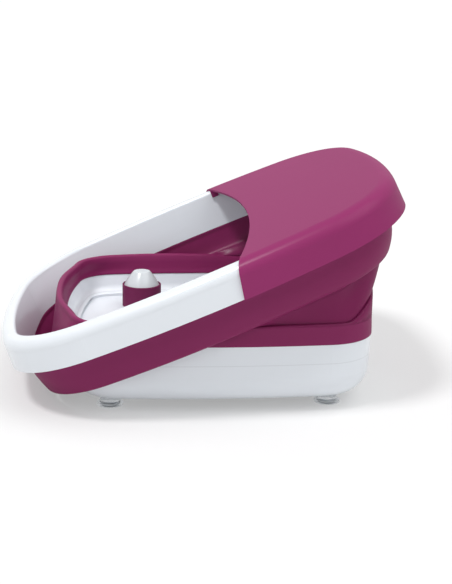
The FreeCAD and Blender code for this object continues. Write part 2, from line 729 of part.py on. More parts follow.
def make_rim():
    """Carrying rim: rolled top, flared outer skirt and deep inner wall, hollow from below."""
    roof = RIM_HEIGHT - WALL
    foot = -WALL_FOOT_DEPTH
    core = loft((rim_wall(foot, WALL), foot), (rim_wall(roof, WALL), roof))
    body = loft((skirt_outline(0), 0), (RIM, RIM_FLARE_HEIGHT))
    body = body.fuse(plate(RIM, RIM_FLARE_HEIGHT, RIM_HEIGHT)).removeSplitter()
    body = rounded(body, RIM_ROLL, RIM, RIM_HEIGHT).fuse(core)
    body = body.cut(loft((rim_wall(foot), foot), (rim_wall(RIM_HEIGHT), RIM_HEIGHT)))
    body = rounded(body, RIM_INNER_ROUND, rim_wall(RIM_HEIGHT), RIM_HEIGHT)
    channel = loft((skirt_outline(0, -WALL), 0), (inset(RIM, WALL), RIM_FLARE_HEIGHT))
    channel = channel.fuse(plate(inset(RIM, WALL), RIM_FLARE_HEIGHT, roof)).removeSplitter()
    channel = rounded(channel, RIM_ROLL - WALL, inset(RIM, WALL), roof)
    body = body.cut(channel.cut(core))
    bosses = [cylinder(BOSS_DIAMETER / 2, ring_top(), roof - BOSS_SHORT, p.x, p.y) for p in boss_places()]
    body = body.fuse(bosses)
    top = ring_top() + RIM_SCREW_BITE + 1
    pilots = [cylinder(SCREW_RADIUS + SCREW_GAP, ring_top(), top, p.x, p.y) for p in boss_places()]
    return body.cut(pilots).removeSplitter()


def ring_top():
    return RING_RECESS + RING_THICKNESS


def boss_line():
    """Middle line between the skirt and the bead, where the screws stand."""
    skirt = inset(RIM, WALL)
    bead = rim_wall(bead_foot() + BEAD_THICKNESS, WALL + SOFT_GAP + BEAD_WIDTH)
    return between(skirt, bead, 0.5)


def boss_places():
    places = [on_side(boss_line(), x, sign) for x in BOSS_SIDE_X for sign in (-1, 1)]
    return places + [on_end(boss_line(), y, sign) for y in BOSS_END_Y for sign in (-1, 1)]


def make_retaining_ring():
    """Flat ring under the rim, screwed to its bosses: it clamps the cuff's bead."""
    outer = skirt_outline(RING_RECESS, -WALL - SOFT_GAP)
    inner = rim_wall(ring_top(), WALL + 2 * SOFT_GAP + LAP_THICKNESS)
    ring = plate(outer, RING_RECESS, ring_top()).cut(plate(inner, RING_RECESS, ring_top()))
    holes = [cylinder(SCREW_RADIUS + SCREW_GAP, RING_RECESS, ring_top(), p.x, p.y) for p in boss_places()]
    return ring.cut(holes)


def make_rim_screws():
    screws = []
    for place in boss_places():
        head = cylinder(RIM_SCREW_HEAD_RADIUS, RING_RECESS - RIM_SCREW_HEAD, RING_RECESS, place.x, place.y)
        tip = ring_top() + RIM_SCREW_BITE
        screws.append(head.fuse(cylinder(SCREW_RADIUS, RING_RECESS, tip, place.x, place.y)))
    return group(screws)


def make_guard():
    """Splash guard over the toe half: thin shell, curved front edge, two clip tabs."""
    top = RIM_HEIGHT + GUARD_SEAT_GAP + GUARD_WALL
    out = GUARD_GAP + GUARD_WALL
    body = loft((skirt_outline(0, out), 0), (skirt_outline(RIM_FLARE_HEIGHT, out), RIM_FLARE_HEIGHT))
    body = body.fuse(plate(inset(RIM, -out), RIM_FLARE_HEIGHT, top)).removeSplitter()
    body = rounded(body, GUARD_ROUND, inset(RIM, -out), top)
    under = top - GUARD_WALL
    flare_top = RIM_FLARE_HEIGHT
    inside = loft((skirt_outline(0, GUARD_GAP), 0), (skirt_outline(flare_top, GUARD_GAP), flare_top))
    inside = inside.fuse(plate(inset(RIM, -GUARD_GAP), RIM_FLARE_HEIGHT, under)).removeSplitter()
    inside = rounded(inside, RIM_ROLL + GUARD_GAP, inset(RIM, -GUARD_GAP), under)
    body = body.cut(inside)
    body = body.cut(front_cutter())
    tabs = [guard_tab(sign, under) for sign in (-1, 1)]
    return fused([body] + tabs)


def front_cutter():
    """Large upright cylinder, leaning a little, whose side makes the guard's front edge."""
    sag = GUARD_FRONT_X - GUARD_CORNER_X
    radius = (RIM_HALF_WIDTH ** 2 + sag ** 2) / (2 * sag)
    lean = math.radians(GUARD_FRONT_LEAN)
    direction = V(math.sin(lean), 0, math.cos(lean))
    at_top = V(GUARD_FRONT_X - radius / math.cos(lean), 0, RIM_HEIGHT)
    start = at_top - direction * (3 * RIM_HEIGHT)
    return Part.makeCylinder(radius, 6 * RIM_HEIGHT, start, direction)


def guard_tab(sign, under):
    """Clip tab that hangs just inside the rim's inner edge, with a nub towards it."""
    low = under - TAB_LENGTH
    edge = on_side(rim_wall(low), TAB_X, 1).y - TAB_NUB - GUARD_GAP
    half = TAB_WIDTH / 2
    tab = block(TAB_X - half, TAB_X + half, edge - TAB_THICKNESS, edge, low, under + GUARD_WALL / 2)
    ends = [e for e in tab.Edges if e.BoundBox.ZMax < low + 0.1 and e.BoundBox.XLength < 0.1]
    tab = tab.makeFillet(0.8, ends)
    nub = rod(TAB_NUB, TAB_WIDTH - 3, V(TAB_X - TAB_WIDTH / 2 + 1.5, edge, low + 1.6), X_AXIS)
    tab = tab.fuse(nub)
    if sign < 0:
        tab = tab.mirror(V(0, 0, 0), Y_AXIS)
    return tab


# ---- massage knobs -----------------------------------------------------------------------

def make_knob_body(y):
    """Knob shell, open below, with a tube that drops over the peg in the foot bed."""
    base = TUB_FLOOR_HEIGHT - BED_DEPTH
    top = base + KNOB_HEIGHT
    seat = top - KNOB_CAP_SEAT
    roof = seat - KNOB_WALL
    bore = PEG_RADIUS + KNOB_GAP
    tube = bore + KNOB_WALL
    inner = KNOB_RADIUS - KNOB_WALL
    profile = [
        (bore, base), (tube, base), (tube, roof), (inner, roof), (inner, base), (KNOB_RADIUS - 0.8, base),
        (KNOB_RADIUS, base + 0.8), (KNOB_RADIUS, top - 0.5), (KNOB_RADIUS - 0.5, top),
        (KNOB_RADIUS - KNOB_LIP, top), (KNOB_RADIUS - KNOB_LIP, seat), (0, seat), (0, base + PEG_HEIGHT + 2),
        (bore, base + PEG_HEIGHT + 2),
    ]
    return turned(profile, KNOB_X, y)


def make_knob_cap(y):
    """Domed cap: steep rounded sides up to a small flat top, hollow below."""
    seat = TUB_FLOOR_HEIGHT - BED_DEPTH + KNOB_HEIGHT - KNOB_CAP_SEAT
    radius = KNOB_RADIUS - KNOB_LIP - CAP_GAP
    dome = cap_dome(radius, CAP_TOP_RADIUS, seat, seat + CAP_HEIGHT)
    inside = cap_dome(radius - KNOB_WALL, CAP_TOP_RADIUS - 1, seat, seat + CAP_HEIGHT - KNOB_WALL)
    cap = dome.cut(inside)
    cap.translate(V(KNOB_X, y, 0))
    return cap


def cap_dome(foot, crown, low, high):
    """Solid dome whose side is one arc from the foot radius up to the crown radius."""
    bulge = V((foot + crown) / 2 + CAP_BULGE, 0, (low + high) / 2)
    side = Part.Arc(V(foot, 0, low), bulge, V(crown, 0, high)).toShape()
    rest = Part.makePolygon([V(crown, 0, high), V(0, 0, high), V(0, 0, low), V(foot, 0, low)])
    dome = Part.Face(Part.Wire([side] + rest.Edges)).revolve(V(0, 0, 0), Z_AXIS, 360)
    return dome.makeFillet(CAP_EDGE_ROUND, [e for e in dome.Edges if e.BoundBox.ZMin > high - 0.1])


# ---- inside the base -----------------------------------------------------------------------

def motor_can(gap=0.0):
    """The motor's can, or the room that it needs with a gap all round."""
    return rod(MOTOR_RADIUS + gap, MOTOR_LENGTH, V(-MOTOR_LENGTH / 2, 0, MOTOR_AXIS_HEIGHT), X_AXIS)


def make_motor():
    """Motor can along X with a flat-ended nose at each end, bored for the shaft."""
    half = MOTOR_LENGTH / 2
    can = motor_can()
    ends = [e for e in can.Edges if e.Length > 2 * math.pi * MOTOR_RADIUS - 1]
    can = can.makeFillet(MOTOR_EDGE_ROUND, ends)
    for sign in (-1, 1):
        start = V(sign * half, 0, MOTOR_AXIS_HEIGHT)
        can = can.fuse(rod(MOTOR_NOSE_RADIUS, MOTOR_NOSE, start, X_AXIS * sign))
    reach = half + 2 * MOTOR_NOSE
    bore = rod(SHAFT_RADIUS + SHAFT_GAP, 2 * reach, V(-reach, 0, MOTOR_AXIS_HEIGHT), X_AXIS)
    return can.cut(bore)


def make_motor_bracket():
    """Saddle strap over the motor, with two feet on the posts at each side."""
    reach = MOTOR_LENGTH / 2 - STRAP_END_MARGIN
    seat = motor_seat()
    radius = MOTOR_RADIUS + STRAP
    outer = rod(radius, 2 * reach, V(-reach, 0, MOTOR_AXIS_HEIGHT), X_AXIS)
    strap = outer.common(block(-reach, reach, -radius, radius, seat, MOTOR_AXIS_HEIGHT + radius))
    foot_y = MOTOR_RADIUS + STRAP_FOOT_REACH
    strap = strap.fuse(block(-reach, reach, -foot_y, foot_y, seat, seat + STRAP))
    strap = strap.cut(motor_can())
    inner = reach - STRAP_FOOT_LENGTH
    strap = strap.cut(block(-inner, inner, -foot_y, foot_y, seat, MOTOR_AXIS_HEIGHT))
    hole = SCREW_RADIUS + SCREW_GAP
    holes = [cylinder(hole, seat, seat + STRAP, x, y) for x, y in motor_screw_places()]
    return strap.cut(holes).removeSplitter()


def make_motor_screws():
    seat = motor_seat() + STRAP
    return group([top_screw(x, y, seat, TOP_SCREW_BITE) for x, y in motor_screw_places()])


def make_motor_shaft():
    reach = MOTOR_LENGTH / 2 + SHAFT_OVERHANG
    shaft = rod(SHAFT_RADIUS, 2 * reach, V(-reach, 0, MOTOR_AXIS_HEIGHT), X_AXIS)
    return shaft.makeChamfer(0.4, [e for e in shaft.Edges if e.BoundBox.XLength < 0.1])


def make_weights():
    """Two half-round weights that run out of balance, one at each end of the shaft."""
    weights = []
    for sign in (-1, 1):
        near = sign * (MOTOR_LENGTH / 2 + MOTOR_NOSE + WEIGHT_GAP)
        start = V(min(near, near + sign * WEIGHT_THICKNESS), 0, MOTOR_AXIS_HEIGHT)
        disc = rod(WEIGHT_RADIUS, WEIGHT_THICKNESS, start, X_AXIS)
        end = start.x + WEIGHT_THICKNESS
        low = MOTOR_AXIS_HEIGHT - WEIGHT_RADIUS
        keep = block(start.x, end, -WEIGHT_RADIUS, WEIGHT_RADIUS, low, MOTOR_AXIS_HEIGHT)
        hub = rod(WEIGHT_HUB_RADIUS, WEIGHT_THICKNESS, start, X_AXIS)
        bore = rod(SHAFT_RADIUS, WEIGHT_THICKNESS, start, X_AXIS)
        weights.append(disc.common(keep).fuse(hub).cut(bore).removeSplitter())
    return group(weights)


def heater_top():
    return TUB_FLOOR_HEIGHT - BED_DEPTH - WALL


def make_heater_plates():
    """Flat heater under each foot bed, cut away round the screw post in the middle."""
    plates = []
    for sign in (-1, 1):
        y = sign * HEATER_CENTRE_Y
        slab = block(
            -HEATER_LENGTH / 2, HEATER_LENGTH / 2, y - HEATER_WIDTH / 2, y + HEATER_WIDTH / 2,
            heater_top() - HEATER_THICKNESS, heater_top(),
        )
        slab = slab.makeFillet(HEATER_ROUND, [e for e in slab.Edges if e.BoundBox.ZLength > 0.1])
        plates.append(slab)
    return group(plates)


def make_cutout():
    """Thermal cut-out pressed against the near heater plate."""
    top = heater_top() - HEATER_THICKNESS
    low = top - CUTOUT_HEIGHT
    y = -HEATER_CENTRE_Y
    body = cylinder(CUTOUT_RADIUS, low, top, CUTOUT_X, y)
    half = CUTOUT_BLADE_WIDTH / 2
    blades = []
    for sign in (-1, 1):
        x = CUTOUT_X + sign * CUTOUT_BLADE_PITCH / 2
        x0 = x - CUTOUT_BLADE_THICKNESS / 2
        blades.append(block(x0, x0 + CUTOUT_BLADE_THICKNESS, y - half, y + half, low - CUTOUT_BLADE, low))
    return body.fuse(blades)


def make_board():
    low = BOARD_HEIGHT
    top = low + BOARD_THICKNESS
    half = BOARD_LENGTH / 2
    slab = block(BOARD_X - half, BOARD_X + half, -BOARD_WIDTH / 2, BOARD_WIDTH / 2, low, top)
    holes = [cylinder(SCREW_RADIUS + SCREW_GAP, low, top, x, y) for x, y in board_screw_places()]
    return slab.cut(holes)


def make_board_parts():
    """Relay, driver and two capacitors standing on the board."""
    top = BOARD_HEIGHT + BOARD_THICKNESS
    x = BOARD_X + BOARD_PARTS_X
    half = RELAY_WIDTH / 2
    relay = block(x - half, x + half, RELAY_Y - half, RELAY_Y + half, top, top + RELAY_HEIGHT)
    relay = relay.makeFillet(RELAY_ROUND, relay.Edges)
    driver = Part.makeBox(DRIVER_LENGTH, DRIVER_WIDTH, DRIVER_HEIGHT)
    driver.translate(V(x - DRIVER_LENGTH / 2, DRIVER_Y - DRIVER_WIDTH / 2, top))
    places = [x + sign * CAPACITOR_PITCH / 2 for sign in (-1, 1)]
    tall = top + CAPACITOR_HEIGHT
    return group([relay, driver] + [cylinder(CAPACITOR_RADIUS, top, tall, px, CAPACITOR_Y) for px in places])


def make_board_screws():
    seat = BOARD_HEIGHT + BOARD_THICKNESS
    return group([top_screw(x, y, seat, TOP_SCREW_BITE) for x, y in board_screw_places()])


def button_plane():
    """X of the flat pad that the button's bezel stands on, in the toe end of the shell."""
    return base_outline(BUTTON_HEIGHT)[0]


def bezel_radius():
    return BUTTON_RADIUS + BUTTON_GAP + BEZEL_WIDTH


def button_pad():
    """Flat round pad that carries the bezel on the curved end."""
    start = V(button_plane() - PAD_DEPTH, 0, BUTTON_HEIGHT)
    return rod(bezel_radius() + PAD_MARGIN, PAD_DEPTH, start, X_AXIS)


def button_hole():
    start = V(button_plane() - 2 * PAD_DEPTH, 0, BUTTON_HEIGHT)
    hole = rod(bezel_radius() - BEZEL_LAND, 3 * PAD_DEPTH, start, X_AXIS)
    seat = rod(bezel_radius() + SOFT_GAP, PAD_DEPTH, V(button_plane(), 0, BUTTON_HEIGHT), X_AXIS)
    return hole.fuse(seat)


def make_bezel():
    """Flanged ring in the pad that guides the button."""
    plane = button_plane()
    sleeve = rod(bezel_radius() - BEZEL_LAND, BEZEL_DEPTH, V(plane - BEZEL_DEPTH, 0, BUTTON_HEIGHT), X_AXIS)
    flange = rod(bezel_radius(), BEZEL_PROUD, V(plane, 0, BUTTON_HEIGHT), X_AXIS)
    flange = flange.makeFillet(0.6, [e for e in flange.Edges if e.BoundBox.XMin > plane + BEZEL_PROUD - 0.1])
    bore_start = V(plane - 2 * BEZEL_DEPTH, 0, BUTTON_HEIGHT)
    bore = rod(BUTTON_RADIUS + BUTTON_GAP, 3 * BEZEL_DEPTH, bore_start, X_AXIS)
    return sleeve.fuse(flange).cut(bore).removeSplitter()


def make_button():
    """Round key with a collar behind the bezel, and a stem towards the switch."""
    face = button_plane() + BEZEL_PROUD + BUTTON_PROUD
    back = button_back()
    key = rod(BUTTON_RADIUS, face - back, V(back, 0, BUTTON_HEIGHT), X_AXIS)
    key = key.makeFillet(1.2, [e for e in key.Edges if e.BoundBox.XMin > face - 0.1])
    collar_start = V(back - BUTTON_COLLAR, 0, BUTTON_HEIGHT)
    collar = rod(BUTTON_RADIUS + BUTTON_COLLAR, BUTTON_COLLAR, collar_start, X_AXIS)
    stem = rod(BUTTON_STEM_RADIUS, BUTTON_STEM, V(stem_tip(), 0, BUTTON_HEIGHT), X_AXIS)
    return key.fuse([collar, stem]).removeSplitter()


def button_back():
    return button_plane() - BEZEL_DEPTH - SOFT_GAP


def stem_tip():
    return button_back() - BUTTON_COLLAR - BUTTON_STEM


def make_switch():
    """Push switch on an upright of the control board, just beyond the button's stem."""
    front = stem_tip() - BUTTON_TRAVEL - SOFT_GAP
    back = front - SWITCH_DEPTH
    half = SWITCH_WIDTH / 2
    body = block(back, front, -half, half, BUTTON_HEIGHT - half, BUTTON_HEIGHT + half)
    low = BOARD_HEIGHT + BOARD_THICKNESS
    side = SWITCH_UPRIGHT_WIDTH / 2
    return body.fuse(block(back - BOARD_THICKNESS, back, -side, side, low, BUTTON_HEIGHT + half))


# ---- cord gland ------------------------------------------------------------------------------

def gland_face():
    """Y of the flat seat that the gland's flange stands on."""
    return on_side(base_outline(GLAND_HEIGHT), GLAND_X, 1).y - SOFT_GAP


def clamp_y():
    return gland_face() - CLAMP_BACK


def clamp_seat():
    """Height of the posts that the cord clamp stands on, level with the bottom of the bore."""
    return GLAND_HEIGHT - GLAND_BORE_RADIUS


def gland_pad():
    """Flat round pad that carries the gland on the curved side."""
    start = V(GLAND_X, gland_face() - PAD_DEPTH, GLAND_HEIGHT)
    return rod(GLAND_FLANGE_RADIUS + PAD_MARGIN, PAD_DEPTH, start, Y_AXIS)


def gland_hole():
    hole = rod(GLAND_RADIUS, 3 * PAD_DEPTH, V(GLAND_X, gland_face() - 2 * PAD_DEPTH, GLAND_HEIGHT), Y_AXIS)
    seat = rod(GLAND_FLANGE_RADIUS + SOFT_GAP, PAD_DEPTH, V(GLAND_X, gland_face(), GLAND_HEIGHT), Y_AXIS)
    return hole.fuse(seat)


def make_gland():
    """Soft grommet with a flange outside the wall and a locking lip inside, bored for the cord."""
    face = gland_face()
    back = face - PAD_DEPTH
    outer = rod(GLAND_FLANGE_RADIUS, GLAND_FLANGE, V(GLAND_X, face, GLAND_HEIGHT), Y_AXIS)
    outer = outer.makeFillet(1.2, [e for e in outer.Edges if e.BoundBox.YMin > face + GLAND_FLANGE - 0.1])
    body = rod(GLAND_RADIUS, PAD_DEPTH, V(GLAND_X, back, GLAND_HEIGHT), Y_AXIS)
    lock = rod(GLAND_RADIUS + 1.2, GLAND_LOCK, V(GLAND_X, back - GLAND_LOCK, GLAND_HEIGHT), Y_AXIS)
    bore = rod(GLAND_BORE_RADIUS, 4 * PAD_DEPTH, V(GLAND_X, back - PAD_DEPTH, GLAND_HEIGHT), Y_AXIS)
    return outer.fuse([body, lock]).cut(bore).removeSplitter()


def make_clamp():
    """Bar that would hold the cord down on the two posts inside the shell."""
    low = clamp_seat()
    near = clamp_y() - CLAMP_WIDTH / 2
    far = clamp_y() + CLAMP_WIDTH / 2
    left = GLAND_X - CLAMP_LENGTH / 2
    right = GLAND_X + CLAMP_LENGTH / 2
    bar = block(left, right, near, far, low, low + CLAMP_THICKNESS)
    hump = rod(GLAND_BORE_RADIUS + CLAMP_HUMP_WALL, CLAMP_WIDTH, V(GLAND_X, near, low), Y_AXIS)
    bar = bar.fuse(hump.common(block(left, right, near, far, low, low + 2 * GLAND_BORE_RADIUS)))
    bar = bar.cut(rod(GLAND_BORE_RADIUS, CLAMP_WIDTH, V(GLAND_X, near, low), Y_AXIS))
    hole = SCREW_RADIUS + SCREW_GAP
    holes = [cylinder(hole, low, low + CLAMP_THICKNESS, x, y) for x, y in clamp_screw_places()]
    return bar.cut(holes).removeSplitter()


def make_clamp_screws():
    seat = clamp_seat() + CLAMP_THICKNESS
    return group([top_screw(x, y, seat, TOP_SCREW_BITE) for x, y in clamp_screw_places()])


# ---- assembly --------------------------------------------------------------------------------

def build():
    parts = {
        "tub_shell": make_tub(),
        "base_shell": make_base_shell(),
        "seam_gasket": make_gasket(),
        "base_screws": group([base_screw(x, y) for x, y in BASE_SCREWS]),
        "suction_feet": group([make_foot(x, y) for x, y in foot_places()]),
        "lower_cuff": make_lower_cuff(),
        "folding_web": make_web(),
        "heater_plates": make_heater_plates(),
        "thermal_cutout": make_cutout(),
        "vibration_motor": make_motor(),
        "motor_bracket": make_motor_bracket(),
        "motor_screws": make_motor_screws(),
        "motor_shaft": make_motor_shaft(),
        "eccentric_weights": make_weights(),
        "control_board": make_board(),
        "board_parts": make_board_parts(),
        "board_screws": make_board_screws(),
        "push_switch": make_switch(),
        "button_bezel": make_bezel(),
        "function_button": make_button(),
        "cord_gland": make_gland(),
        "cord_clamp": make_clamp(),
        "clamp_screws": make_clamp_screws(),
    }
    for side, sign in (("near", -1), ("far", 1)):
        parts[side + "_knob_body"] = make_knob_body(sign * KNOB_Y)
        parts[side + "_knob_cap"] = make_knob_cap(sign * KNOB_Y)
    tilted = {
        "rim_shell": make_rim(),
        "upper_cuff": make_upper_cuff(),
        "retaining_ring": make_retaining_ring(),
        "rim_screws": make_rim_screws(),
        "splash_guard": make_guard(),
    }
    for name, shape in tilted.items():
        shape.Placement = rim_place().multiply(shape.Placement)
        parts[name] = shape
    return parts


def centred(parts):
    """Move everything so that the whole part is centred over the origin, feet on Z = 0."""
    box = group(list(parts.values())).optimalBoundingBox(False, False)
    shift = V(-(box.XMin + box.XMax) / 2, 0, 0)
    for shape in parts.values():
        shape.translate(shift)
    return shift


def lowest(parts):
    return min(shape.optimalBoundingBox(False, False).ZMin for shape in parts.values())


def main():
    os.makedirs("parts", exist_ok=True)
    parts = build()
    shift = centred(parts)
    for name, shape in parts.items():
        shape.exportStep("parts/" + name + ".step")
    print("base centre at X = %.3f, lowest point at Z = %.4f" % (shift.x, lowest(parts)))


main()
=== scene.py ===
"""Looks of the folding foot spa basin: soft folding wall, materials, floor, light and camera."""

import json
import math

import bmesh
import bpy
from mathutils import Matrix, Vector

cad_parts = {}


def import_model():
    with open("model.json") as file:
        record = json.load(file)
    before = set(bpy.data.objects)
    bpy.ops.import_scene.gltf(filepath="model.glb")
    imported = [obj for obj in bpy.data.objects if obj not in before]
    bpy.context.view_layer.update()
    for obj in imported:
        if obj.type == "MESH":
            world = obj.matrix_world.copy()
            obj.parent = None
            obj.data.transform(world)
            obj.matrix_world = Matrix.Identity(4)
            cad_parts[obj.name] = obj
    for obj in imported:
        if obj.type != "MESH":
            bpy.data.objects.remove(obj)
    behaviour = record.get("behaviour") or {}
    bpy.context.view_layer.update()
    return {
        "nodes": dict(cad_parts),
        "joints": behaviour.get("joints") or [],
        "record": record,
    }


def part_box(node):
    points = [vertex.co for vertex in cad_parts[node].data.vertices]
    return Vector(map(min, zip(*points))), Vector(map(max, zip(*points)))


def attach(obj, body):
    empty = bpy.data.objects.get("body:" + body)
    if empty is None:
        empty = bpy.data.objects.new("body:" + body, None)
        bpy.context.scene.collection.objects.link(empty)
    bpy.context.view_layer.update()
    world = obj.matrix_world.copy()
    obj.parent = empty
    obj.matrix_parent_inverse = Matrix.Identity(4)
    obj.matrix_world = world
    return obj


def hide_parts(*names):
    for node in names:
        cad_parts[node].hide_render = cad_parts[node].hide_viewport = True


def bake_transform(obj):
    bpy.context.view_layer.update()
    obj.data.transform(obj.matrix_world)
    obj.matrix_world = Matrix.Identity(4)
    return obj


# ---- sizes: metres and degrees, and millimetres in the sections of the soft pieces ---------

MM_PER_METRE = 1000

# Outlines as in the solids: half length, half width, radius of the sides, ends and corners
BASE_OUTLINE = (0.160, 0.147, 1.150, 0.460, 0.051)
RIM_OUTLINE = (0.210, 0.181, 0.725, 0.595, 0.099)
RIM_CENTRE_X = -0.0129
RIM_CENTRE_Z = 0.1158

# Mesh steps along the end, corner and side arcs of one quarter of an outline
ARC_STEPS = (20, 26, 36)

# Thickness of the moulded walls, and the gap that soft pieces have to them
WALL = 0.0025
SOFT_GAP = 0.0003

# Lower cuff: its closed section as (inset, height) in millimetres, at the heel end, where the
# wall is folded over it, and at the toe end, where the wall stands up from it. One form passes
# smoothly into the other over a span of x, from the middle of the outline, as in all the spans
# below that don't say height
CUFF_AT_HEEL = (
    (-0.1, 72.1), (-0.1, 70.7), (-0.3, 70.6), (-0.4, 71.0), (-0.4, 75.0), (-0.4, 80.0),
    (-0.5, 84.0), (-0.8, 87.0), (-1.0, 88.8), (-0.7, 90.0), (0.3, 90.8), (1.6, 91.0),
    (3.0, 90.8), (4.2, 90.1), (5.1, 88.8), (6.5, 82.0), (7.3, 77.0), (8.2, 73.2),
    (8.9, 71.4), (9.8, 69.5), (9.4, 69.2), (8.6, 71.4), (7.9, 72.1),
)
CUFF_AT_TOE = (
    (-0.1, 72.1), (-0.1, 70.7), (-0.3, 70.6), (-0.4, 71.0), (-0.3, 75.0), (-0.1, 80.0),
    (0.1, 84.0), (0.2, 86.0), (0.2, 87.5), (0.2, 88.3), (0.25, 88.5), (0.9, 88.5),
    (2.2, 88.4), (3.4, 88.0), (4.8, 86.4), (6.3, 82.5), (7.5, 76.5), (8.2, 73.2),
    (8.9, 71.4), (9.8, 69.5), (9.4, 69.2), (8.6, 71.4), (7.9, 72.1),
)
FOLD_SPAN = (-0.040, 0.070)

# Crest of the folded wall: how far it is drawn in round the heel corners, and where
CREST_PULL = 0.0050
CREST_START_SPAN = (-0.160, -0.150)
CREST_END_SPAN = (-0.135, -0.060)
CREST_HEIGHT_SPAN = (0.074, 0.087)

# Upper cuff's lower edge: its depth below the rim's zero level, its insets from the rim's
# outline, and how far it is drawn in at the toe end
UPPER_CUFF_DEPTH = 0.035
UPPER_CUFF_END_INSET = 0.020
UPPER_CUFF_SIDE_INSET = 0.023
TOE_PULL = 0.003
TOE_PULL_SPAN = (0.0, 0.150)

# Upper cuff's soft band as (inset, height) in millimetres: up its outside from the lower edge,
# which is square at the heel and rolled in at the toe, and down its inside. The insets are from
# the straight line between that edge and the lap's outer face at the foot of the rim's wall
HEEL_BAND_OUTSIDE = (
    (4.4, -35.9), (4.0, -36.9), (2.6, -37.4), (1.1, -37.4), (0.0, -36.9), (-0.6, -35.8),
    (-0.9, -33.0), (-1.1, -28.0), (-1.2, -24.0), (-1.2, -20.0), (-0.9, -16.0), (-0.4, -12.0),
    (0.0, -9.0),
)
TOE_BAND_OUTSIDE = (
    (7.6, -36.4), (6.6, -37.5), (5.2, -38.0), (3.7, -37.7), (2.3, -36.6), (1.2, -34.8),
    (0.3, -32.0), (-0.6, -28.0), (-1.1, -24.0), (-1.2, -20.0), (-0.9, -16.0), (-0.4, -12.0),
    (0.0, -9.0),
)
HEEL_BAND_INSIDE = (
    (3.0, -12.0), (3.0, -16.0), (3.0, -20.0), (3.0, -24.0), (3.0, -28.0), (3.1, -31.5),
    (3.3, -33.5), (3.6, -34.4), (4.1, -35.0),
)
TOE_BAND_INSIDE = (
    (3.0, -12.0), (3.0, -16.0), (3.0, -20.0), (3.0, -24.0), (3.2, -28.0), (3.8, -31.5),
    (5.0, -34.0), (6.4, -35.2), (7.4, -35.8),
)
BAND_ROLL_SPAN = (-0.060, 0.060)

# Inner wall of the rim, from its foot, below the rim's zero level, to the rim's top
RIM_HEIGHT = 0.0315
RIM_TOP_INSET = 0.016
WALL_FOOT_DEPTH = 0.009
WALL_FOOT_END_INSET = 0.018
WALL_FOOT_SIDE_INSET = 0.0235

# Upper cuff's lap, which stands outside that wall, and the bead along its top. LAP_IN, LAP_OUT
# and BEAD_OUT are distances out from the wall's inner face
LAP_THICKNESS = 0.0020
LAP_IN = WALL + SOFT_GAP
LAP_OUT = LAP_IN + LAP_THICKNESS
BEAD_WIDTH = 0.0047
BEAD_THICKNESS = 0.0022
BEAD_FOOT = 0.0048
BEAD_OUT = LAP_IN + BEAD_WIDTH
LAP_TOP = BEAD_FOOT + BEAD_THICKNESS

# Folding web's lip, where it leaves the lower cuff, as (inset, height) in millimetres at both
# ends, and how much of the rise at the toe end each of its points takes
LIP_AT_HEEL = (
    (1.2, 89.4), (0.6, 89.2), (0.1, 88.8), (-0.2, 88.2), (-0.4, 87.4), (-0.5, 86.6),
    (-0.6, 85.8), (-0.8, 85.0),
)
LIP_AT_TOE = (
    (1.1, 88.6), (1.1, 88.9), (1.15, 89.3), (1.6, 90.0), (2.4, 90.2), (3.2, 89.8),
    (3.8, 89.8), (4.2, 90.6),
)
LIP_SHARE_OF_RISE = (0.0, 0.5, 1.0, 1.0, 1.0, 1.0, 1.0, 1.0)
LIP_RISE = 0.020
LIP_RISE_SPAN = (0.118, 0.155)

# Folding web's foot, just inside the upper cuff's lower edge
HEEL_FOOT_INSET = 0.0058
TOE_FOOT_INSET = 0.0086
WEB_FOOT_HEIGHT = -0.0352

# Folding web's run, from its lip to its foot. Its directions at both ends are shares of its
# length along it, outward and up, where it is folded, along the sides and at the toe end. The
# folded wall bulges out, and spreads from the crest by a multiple of the crest's pull
WEB_THICKNESS = 0.0018
WEB_ROWS = 28
LEAVE_FOLDED = (0.0, 0.0, -0.38)
LEAVE_AT_SIDE = (0.0, -0.05, 0.34)
LEAVE_AT_TOE = (0.3, 0.04, 0.0)
ARRIVE_FOLDED = (0.3, 0.0, 0.0)
ARRIVE_AT_SIDE = (0.0, 0.12, 0.26)
ARRIVE_AT_TOE = (0.3, 0.0, 0.0)
TOE_TURN_SPAN = (0.120, 0.148)
HEEL_BULGE = 0.0025
CREST_SPREAD = 3.2

# Recess round the toe corners: the run ends this far inside its foot, and higher by a share
# of that
WEB_RECESS = 0.004
RECESS_RISE_SHARE = 0.2
RECESS_SPAN = (0.100, 0.120)

# Ring where the two web pieces meet, as a share of the web's length at the heel and toe ends
SPLIT_AT_HEEL = 0.42
SPLIT_AT_TOE = 0.87
SPLIT_SPAN = (-0.150, 0.150)

# Painted shade along the parting line round the base, in the gap where two mouldings meet: how far
# it fades up and down, and its share of the plain tone
SEAM_SHADE_HALF_WIDTH = 0.0006
SEAM_SHADE_TONE = 0.86

# Moulded plastic: a slow drift of its tone and gloss, and a fine surface grain
DRIFT_SCALE = 9.0
DRIFT_DETAIL = 3.0
GLOSS_DRIFT = 0.12
GRAIN_SCALE = 900.0
GRAIN_DETAIL = 2.0
GRAIN_STRENGTH = 0.02
GRAIN_DEPTH = 0.0004

# Nodes with a copy of their slot's material: a paler one with painted light for the base and tub, a
# darker one with painted shade for the knob bodies
OWN_MATERIAL = {
    "base_shell": "white_base_painted_light",
    "tub_shell": "white_base_painted_light",
    "near_knob_body": "berry_knob_painted_shade",
    "far_knob_body": "berry_knob_painted_shade",
}

# Sockets that Blender tells apart only by number: the colours of a mix node, and its result
COLOUR_A = 6
COLOUR_B = 7
MIXED_COLOUR = 2

# Floor, and the share of plain white in it as the camera sees it
FLOOR_HALF_SIZE = 30.0
FLOOR_TONE = 0.80
FLOOR_PALENESS = 0.35

# Soft light from all round: its strength from the horizon down, and from straight above
AMBIENT_LOW = 0.12
AMBIENT_HIGH = 0.80

